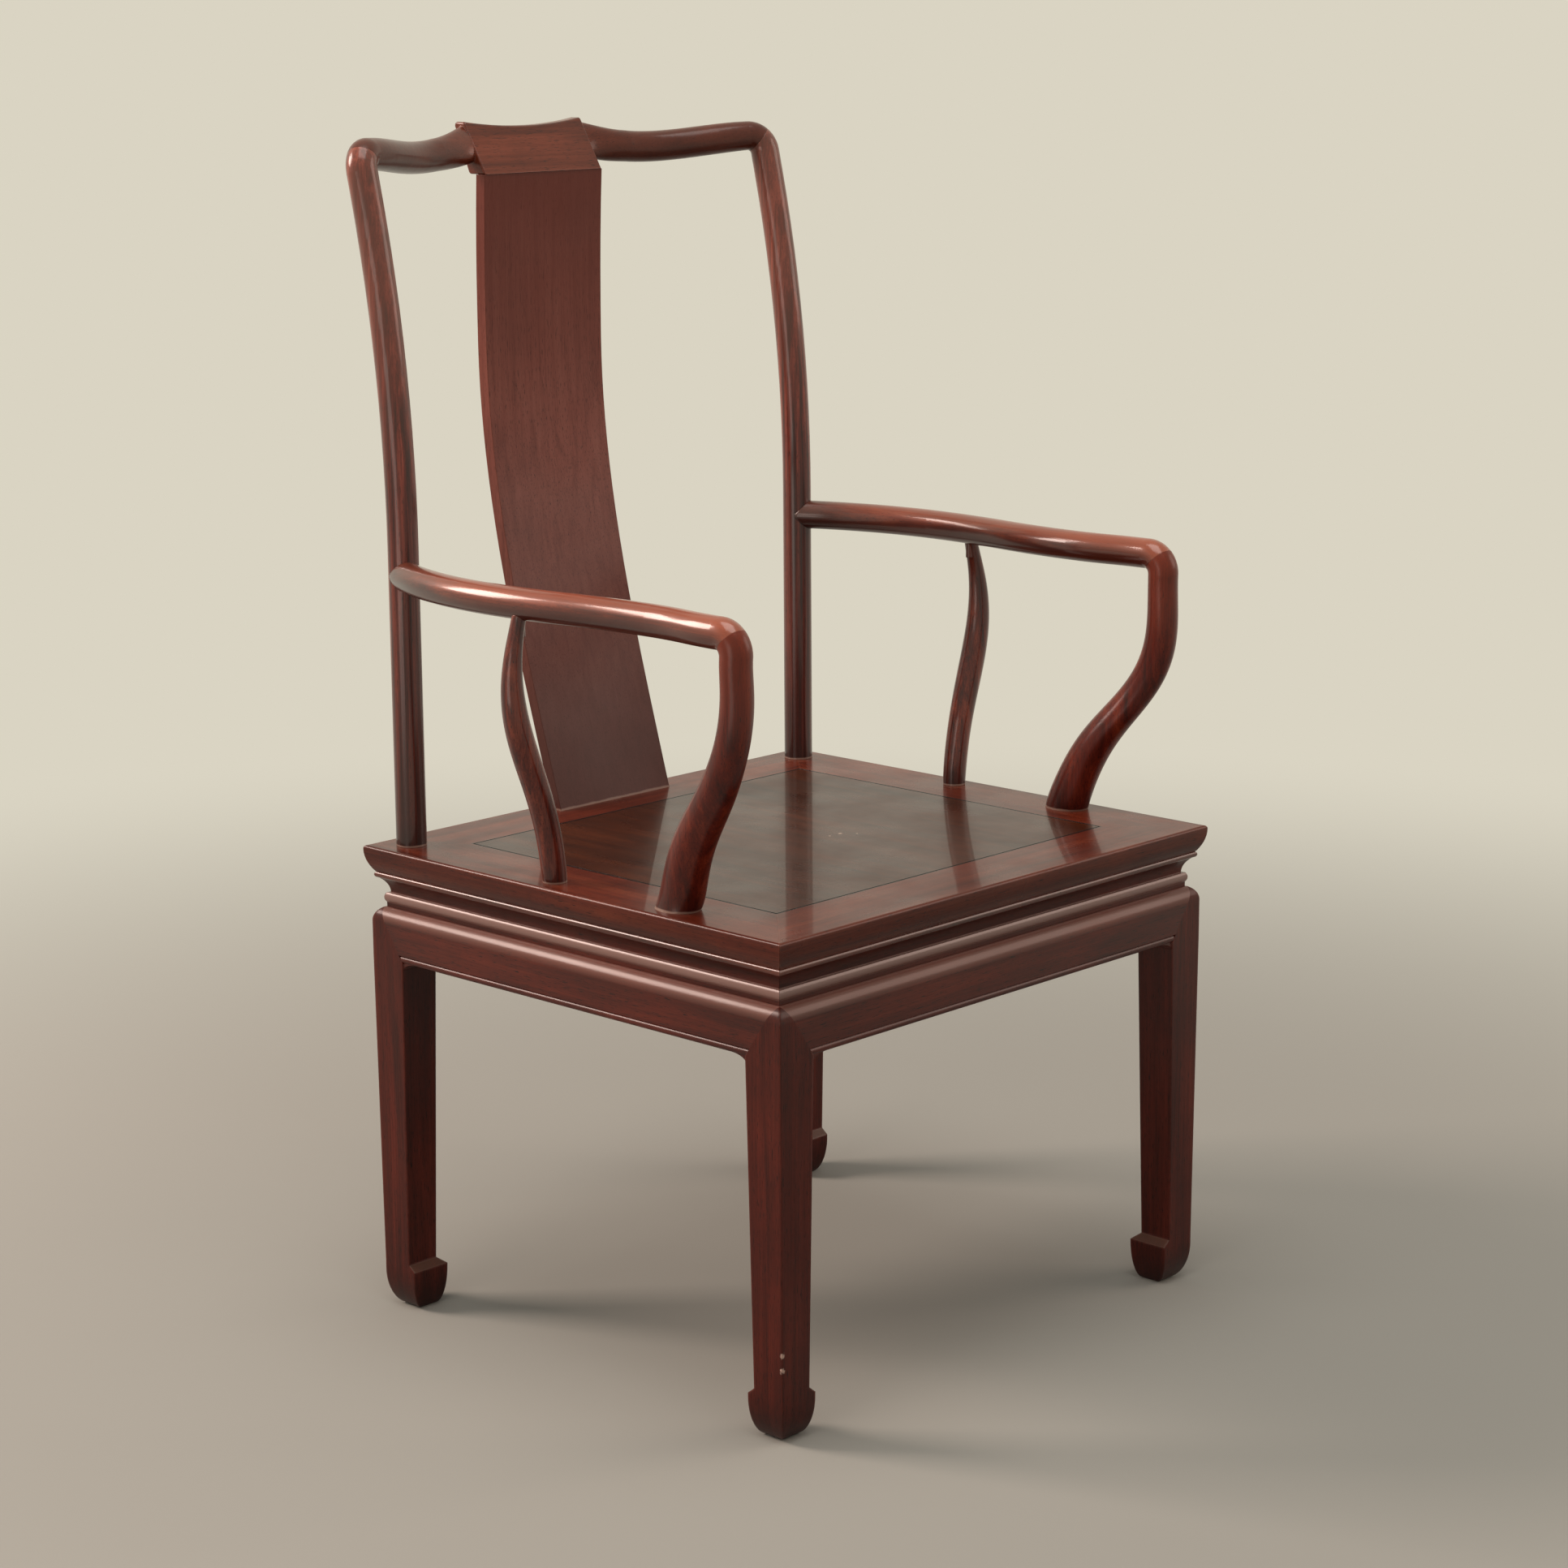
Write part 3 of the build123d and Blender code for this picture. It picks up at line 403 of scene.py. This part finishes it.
# %% Seat panel and battens
scuff_places_and_sizes = ((0.0226, -0.0777, 3.2), (0.0365, -0.0783, 3.8), (0.0472, -0.0902, 3.0))


def scuff_marks_and_gap_shade(tree, at, colour):
    # Painted shade: the panel's edge is painted dark along the gap to the frame.
    colour = painted_gap_shade(tree, at, colour, -0.0014, -0.0006)
    for right, back, size_mm in scuff_places_and_sizes:
        colour = nick(tree, at, (right, back, seat_top), size_mm, colour, "#b39a86")
    return colour


finish(["seat_panel"],
       rosewood("seat_panel_rosewood", Y, "#241009", "#45200f", "#5a2c16", ripple=0.015, arris_mm=0.3,
                wear=0.0, roughness=0.28, coat=0.34, coat_roughness=0.03, story=scuff_marks_and_gap_shade))
finish(["seat_batten_left", "seat_batten_right"],
       rosewood("batten_wood", Y, "#3a2217", "#5a3a27", "#775036", roughness=0.6, coat=0.0))

# %% [markdown]
# ## Legs
# The legs are square, with a soft outer arris that hands and brooms have rubbed, and end in hooves that
# turn inwards. The feet are painted darker towards the floor, a painted shade where they stand on it;
# dust lies on the hooves' ledges, and the front left leg has two nicks. A leg's arris is open to wear
# below the aprons and along its outer corner. At its mitred shoulders it isn't, and a mask keeps them
# sharp: it is the greater of "below the aprons" and "outside both faces of the frame of legs".

# %% Where a leg's arris stands free
leg_low = Vector(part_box("leg_front_left")[0])
shoulder_in = 0.0094  # from the leg's outer faces in to where its mitred shoulders end
shoulder_half_width, shoulder_half_depth = (seat_middle[axis] - leg_low[axis] - shoulder_in
                                            for axis in (X, Y))
print("mitres reach", round(2 * shoulder_half_width, 4), "by", round(2 * shoulder_half_depth, 4))


def outside_mitres(tree, at):
    below = add(tree, "ShaderNodeMapRange", Value=height_of(tree, at), From_Min=apron_foot + 0.010,
                From_Max=apron_foot - 0.002).outputs[0]
    least = beyond(tree, at, shoulder_half_width, shoulder_half_depth, "MINIMUM")
    corner = add(tree, "ShaderNodeMapRange", Value=least, From_Min=0.0, From_Max=0.003).outputs[0]
    return add(tree, "ShaderNodeMath", {"operation": "MAXIMUM"}, _0=below, _1=corner).outputs[0]


# %% Legs
ledge_low, ledge_high = 0.030, 0.056
nick_heights = (0.0699, 0.0832)
nick_inset = 0.0018  # the leg is this much slimmer at the nicks than at its top


def facing_up(tree):
    """The upward part of the normal: 1 on a level top, 0 on an upright side, -1 underneath."""
    normal = add(tree, "ShaderNodeNewGeometry").outputs["Normal"]
    return add(tree, "ShaderNodeSeparateXYZ", Vector=normal).outputs[Z]


def foot_shade_dust_and_nicks(tree, at, colour):
    # Painted shade: the feet are painted darker towards the floor.
    colour = between(tree, at, Z, 0.040, 0.004, colour, "#1e0c09", amount=0.6, ragged_mm=8.0)
    ledge = add(tree, "ShaderNodeMapRange", Value=facing_up(tree), From_Min=0.35, From_Max=0.75,
                To_Max=0.55).outputs[0]
    dust = add(tree, "ShaderNodeMath", {"operation": "MULTIPLY"}, _0=ledge,
               _1=band(tree, at, ledge_low, ledge_high, soft=0.002)).outputs[0]
    colour = add(tree, "ShaderNodeMix", {"data_type": "RGBA"}, Factor=dust, _6=colour,
                 _7=linear("#84685a")).outputs[2]
    for height in nick_heights:
        place = leg_low + Vector((nick_inset, nick_inset, height))
        colour = nick(tree, at, place, 6.0, colour, "#e0bfae")
    return colour


finish(["leg_front_left", "leg_front_right", "leg_back_left", "leg_back_right"],
       rosewood("leg_rosewood", Z, "#300c07", "#5c1f14", "#7c2f20", bare="#8c3d2c", wear_mm=3.0,
                arris_mm=3.0, coat_roughness=0.18, story=foot_shade_dust_and_nicks, standing_free=outside_mitres))

# %% [markdown]
# ## Posts, goosenecks and side posts
# Round members stand in the seat on hidden tenons. Wax gathers round their feet and dries to a pale line,
# and just above it a band is painted dark, a painted shade where the member meets the seat. The back
# posts were planed by hand along their length, which leaves facets too shallow to feel, and these need
# the strongest ripples. They darken towards the seat, and their upper part is painted paler, a painted
# sheen. The goosenecks are carved from curved stock and sanded, and turn redder where hands hold them at
# the top.


# %% Posts, goosenecks and side posts
def wax_ring_and_foot_shade(tree, at, colour):
    # Painted shade: a dark band just above the seat round each foot. Below it lies a real pale line of
    # wax.
    colour = between(tree, at, Z, seat_top + 0.024, seat_top + 0.002, colour, "#200c08", amount=0.6,
                     ragged_mm=4.0)
    return between(tree, at, Z, seat_top + 0.0024, seat_top + 0.0014, colour, "#a98b7c", amount=0.8,
                   ragged_mm=0.8)


def redder_above(tree, at, colour):
    colour = between(tree, at, Z, seat_top + 0.16, seat_top + 0.25, colour, "#983e22", amount=0.45,
                     ragged_mm=25.0)
    return wax_ring_and_foot_shade(tree, at, colour)


def sheen_above_darker_below(tree, at, colour):
    # Painted sheen: the upper part of the back posts is painted paler.
    colour = between(tree, at, Z, seat_top + 0.33, seat_top + 0.50, colour, "#a06654", amount=0.38)
    colour = between(tree, at, Z, seat_top + 0.35, seat_top + 0.01, colour, "#34120c", amount=0.7)
    return wax_ring_and_foot_shade(tree, at, colour)


finish(["back_post_left", "back_post_right"],
       rosewood("back_post_rosewood", Z, "#300d08", "#6c251a", "#a04a38", figure_mm=6.0, spread=0.11,
                ripple_mm=4.5, ripple=0.26, coat=0.85, coat_roughness=0.15, story=sheen_above_darker_below))
finish(["gooseneck_left", "gooseneck_right"],
       rosewood("gooseneck_rosewood", Z, "#300a05", "#6c2011", "#983c20", figure_mm=11.0, ripple=0.0,
                arris_mm=0.0, coat=0.5, coat_roughness=0.24, story=redder_above))
finish(["side_post_left", "side_post_right"],
       rosewood("side_post_rosewood", Z, "#340d08", "#682417", "#96452f", figure_mm=8.0, spread=0.14,
                ripple_mm=6.0, ripple=0.10, coat=0.85, coat_roughness=0.14, story=wax_ring_and_foot_shade))

# %% [markdown]
# ## Splat
# The splat is one thin board, bent to the sitter's back and rubbed dull by it. Its grain is fine and
# quiet, so the figure is narrow and the ramp between its colours wide. It is redder at the top and
# darker below, and its tenon leaves a pale line of wax along the seat.


# %% Splat
def leaned_on(tree, at, colour):
    colour = between(tree, at, Z, seat_top + 0.35, seat_top + 0.59, colour, "#6c2c1e", amount=0.75)
    colour = between(tree, at, Z, seat_top + 0.33, seat_top + 0.05, colour, "#401c16", amount=0.82)
    return between(tree, at, Z, seat_top + 0.0025, seat_top + 0.0012, colour, "#a98b7c", amount=0.7,
                   ragged_mm=1.0)


finish(["splat"],
       rosewood("splat_rosewood", Z, "#643026", "#8e5044", "#a06456", figure_mm=7.0, spread=0.30,
                ripple=0.03, roughness=0.42, coat=0.3, coat_roughness=0.25, story=leaned_on))

# %% [markdown]
# ## Crest rail
# The crest rail is one piece with a flat headrest between two round wings. Its grain runs from wing to
# wing. Heads have rubbed the headrest paler and browner, and the wings keep their dark stain, so a darker
# layer fades in just past the headrest, which is as wide as the splat.

# %% Crest rail
headrest_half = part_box("splat")[1][X]
print("headrest", round(2 * headrest_half, 4), "wide")


def darker_wings(tree, at, colour):
    across = add(tree, "ShaderNodeSeparateXYZ", Vector=at).outputs[X]
    out = add(tree, "ShaderNodeMath", {"operation": "ABSOLUTE"}, _0=across).outputs[0]
    wings = add(tree, "ShaderNodeMapRange", Value=out, From_Min=headrest_half - 0.0015,
                From_Max=headrest_half + 0.0435, To_Max=0.6).outputs[0]
    return add(tree, "ShaderNodeMix", {"data_type": "RGBA"}, Factor=wings, _6=colour,
               _7=linear("#4a2016")).outputs[2]


finish(["crest_rail"],
       rosewood("crest_rosewood", X, "#42180e", "#74341f", "#8e4630", ripple=0.08, wear=0.15, coat=0.6,
                coat_roughness=0.18, story=darker_wings))

# %% [markdown]
# ## Arms
# The arms are handled most. Palms have polished their tops down to fresh orange wood, above all in front,
# and the back ends, which nobody touches, are nearly black. Surfaces facing up are also painted paler,
# partly painted light, and the undersides are painted dark, a painted shade. Top and underside are told
# apart by the normal, so the layers follow the arm round its bends.

# %% Arms
arm_low, arm_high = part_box("armrest_left")
arm_front, arm_back = arm_low[Y], arm_high[Y]
print("arms from", round(arm_front, 4), "to", round(arm_back, 4))


def arm_wear_and_painted_light(tree, at, colour):
    up = facing_up(tree)
    # Painted light: surfaces facing up are painted paler, along with the rubbed wear.
    top = add(tree, "ShaderNodeMapRange", Value=up, From_Min=0.1, From_Max=0.8, To_Max=0.6).outputs[0]
    under = add(tree, "ShaderNodeMapRange", Value=up, From_Min=0.35, From_Max=-0.2,
                To_Max=0.85).outputs[0]
    colour = add(tree, "ShaderNodeMix", {"data_type": "RGBA"}, Factor=top, _6=colour,
                 _7=linear("#b05a3c")).outputs[2]
    colour = between(tree, at, Y, arm_front + 0.126, arm_front - 0.004, colour, "#b0522c", amount=0.6,
                     ragged_mm=20.0)
    # Painted shade: the undersides are painted dark.
    colour = add(tree, "ShaderNodeMix", {"data_type": "RGBA"}, Factor=under, _6=colour,
                 _7=linear("#4a150a")).outputs[2]
    return between(tree, at, Y, arm_back - 0.133, arm_back - 0.033, colour, "#2b100a", amount=0.7,
                   ragged_mm=20.0)


finish(["armrest_left", "armrest_right"],
       rosewood("arm_rosewood", Y, "#36100a", "#7a2f18", "#a84e2a", figure_mm=8.0, spread=0.14,
                ripple=0.10, shine=0.3, coat=1.0, coat_roughness=0.14, story=arm_wear_and_painted_light))

# %% [markdown]
# ## Background and floor
# A studio backdrop is a sweep of paper, even and pale. A big curved sheet would do it, but would bounce a
# great deal of light onto the chair. Here the background colour is shown only to the camera and to
# reflections, and the light that reaches the chair from all round is set apart from it. The floor is
# real: it is lit by the lamps and takes the chair's shadow, and further off it fades into the background.

# %% Background
background = "#dad4c3"
world = bpy.data.worlds.new("studio")
bpy.context.scene.world = world
world.use_nodes = True
sky = world.node_tree
sky.nodes.clear()


def shown(tree):
    """1 for a ray from the camera or one that mirrors or passes through, and 0 for light on its way."""
    path = add(tree, "ShaderNodeLightPath").outputs
    seen = add(tree, "ShaderNodeMath", {"operation": "MAXIMUM"}, _0=path["Is Camera Ray"],
               _1=path["Is Glossy Ray"]).outputs[0]
    return add(tree, "ShaderNodeMath", {"operation": "MAXIMUM"}, _0=seen,
               _1=path["Is Transmission Ray"]).outputs[0]


daylight = add(sky, "ShaderNodeBackground", Color=linear("#f2efe8"), Strength=0.26)
backdrop = add(sky, "ShaderNodeBackground", Color=linear(background), Strength=1.0)
mixed = add(sky, "ShaderNodeMixShader", _0=shown(sky), _1=daylight.outputs[0], _2=backdrop.outputs[0])
add(sky, "ShaderNodeOutputWorld", Surface=mixed.outputs[0])
print("background", background)

# %% Floor
fade_from, fade_to = 0.7, 2.6
bpy.ops.mesh.primitive_circle_add(vertices=96, radius=400.0, fill_type="NGON")
floor = bpy.context.object
floor.name = "floor"
paint = bpy.data.materials.new("pale_floor")
paint.use_nodes = True
tree = paint.node_tree
tree.nodes.clear()
# The floor bounces less light than it shows, so that the chair's underside stays dark.
tone = add(tree, "ShaderNodeMix", {"data_type": "RGBA"}, Factor=shown(tree), _6=linear("#70706a"),
           _7=linear("#b4b6ae")).outputs[2]
matt = add(tree, "ShaderNodeBsdfPrincipled", Base_Color=tone, Roughness=0.9, Specular_IOR_Level=0.1)
even = add(tree, "ShaderNodeEmission", Color=linear(background), Strength=1.0)
at = add(tree, "ShaderNodeTexCoord").outputs["Object"]
out = add(tree, "ShaderNodeVectorMath", {"operation": "LENGTH"}, _0=at).outputs["Value"]
far = add(tree, "ShaderNodeMapRange", {"interpolation_type": "SMOOTHSTEP"}, Value=out, From_Min=fade_from,
          From_Max=fade_to).outputs[0]
factor = add(tree, "ShaderNodeMath", {"operation": "MULTIPLY"}, _0=far, _1=shown(tree)).outputs[0]
mixed = add(tree, "ShaderNodeMixShader", _0=factor, _1=matt.outputs[0], _2=even.outputs[0])
add(tree, "ShaderNodeOutputMaterial", Surface=mixed.outputs[0])
floor.data.materials.append(paint)
print("floor fades into the background from", fade_from, "to", fade_to, "m")

# %% [markdown]
# ## Light
# Dark polished wood is shaped by what it reflects, so each lamp is a soft panel placed for the highlight
# it draws. A window behind on the left draws the broad highlights on the arms and the mouldings. A tall
# one on the left gives the upright posts their thin lines. A panel on the ceiling lights the whole chair,
# and a large faint one on the right keeps the front from going dull.

# %% Lamps
chair_middle = Vector((0, 0, 0.55))


def soft_lamp(name, place, width, height, power, tone):
    """A rectangular lamp turned towards the middle of the chair."""
    lamp = bpy.data.lights.new(name, "AREA")
    lamp.shape = "RECTANGLE"
    lamp.size, lamp.size_y = width, height
    lamp.energy = power
    lamp.color = linear(tone)[:3]
    lit = bpy.data.objects.new(name, lamp)
    bpy.context.scene.collection.objects.link(lit)
    lit.location = place
    lit.rotation_euler = (chair_middle - lit.location).to_track_quat("-Z", "Y").to_euler()
    print(name, power, "W at", place)


soft_lamp("window", (-1.8, 2.4, 2.3), 1.15, 1.3, 76, "#ffe4d8")
soft_lamp("side_window", (-2.9, -0.4, 0.7), 1.2, 1.6, 12, "#ffe4d8")
soft_lamp("ceiling", (-0.3, -0.3, 3.4), 2.0, 2.0, 38, "#fff4ee")
soft_lamp("fill", (2.6, -2.2, 2.0), 1.8, 1.8, 24, "#ffe0d2")

# %% [markdown]
# ## Finish
# The Standard view shows a colour as it was written.

# %% Colour settings
bpy.context.scene.view_settings.view_transform = "Standard"
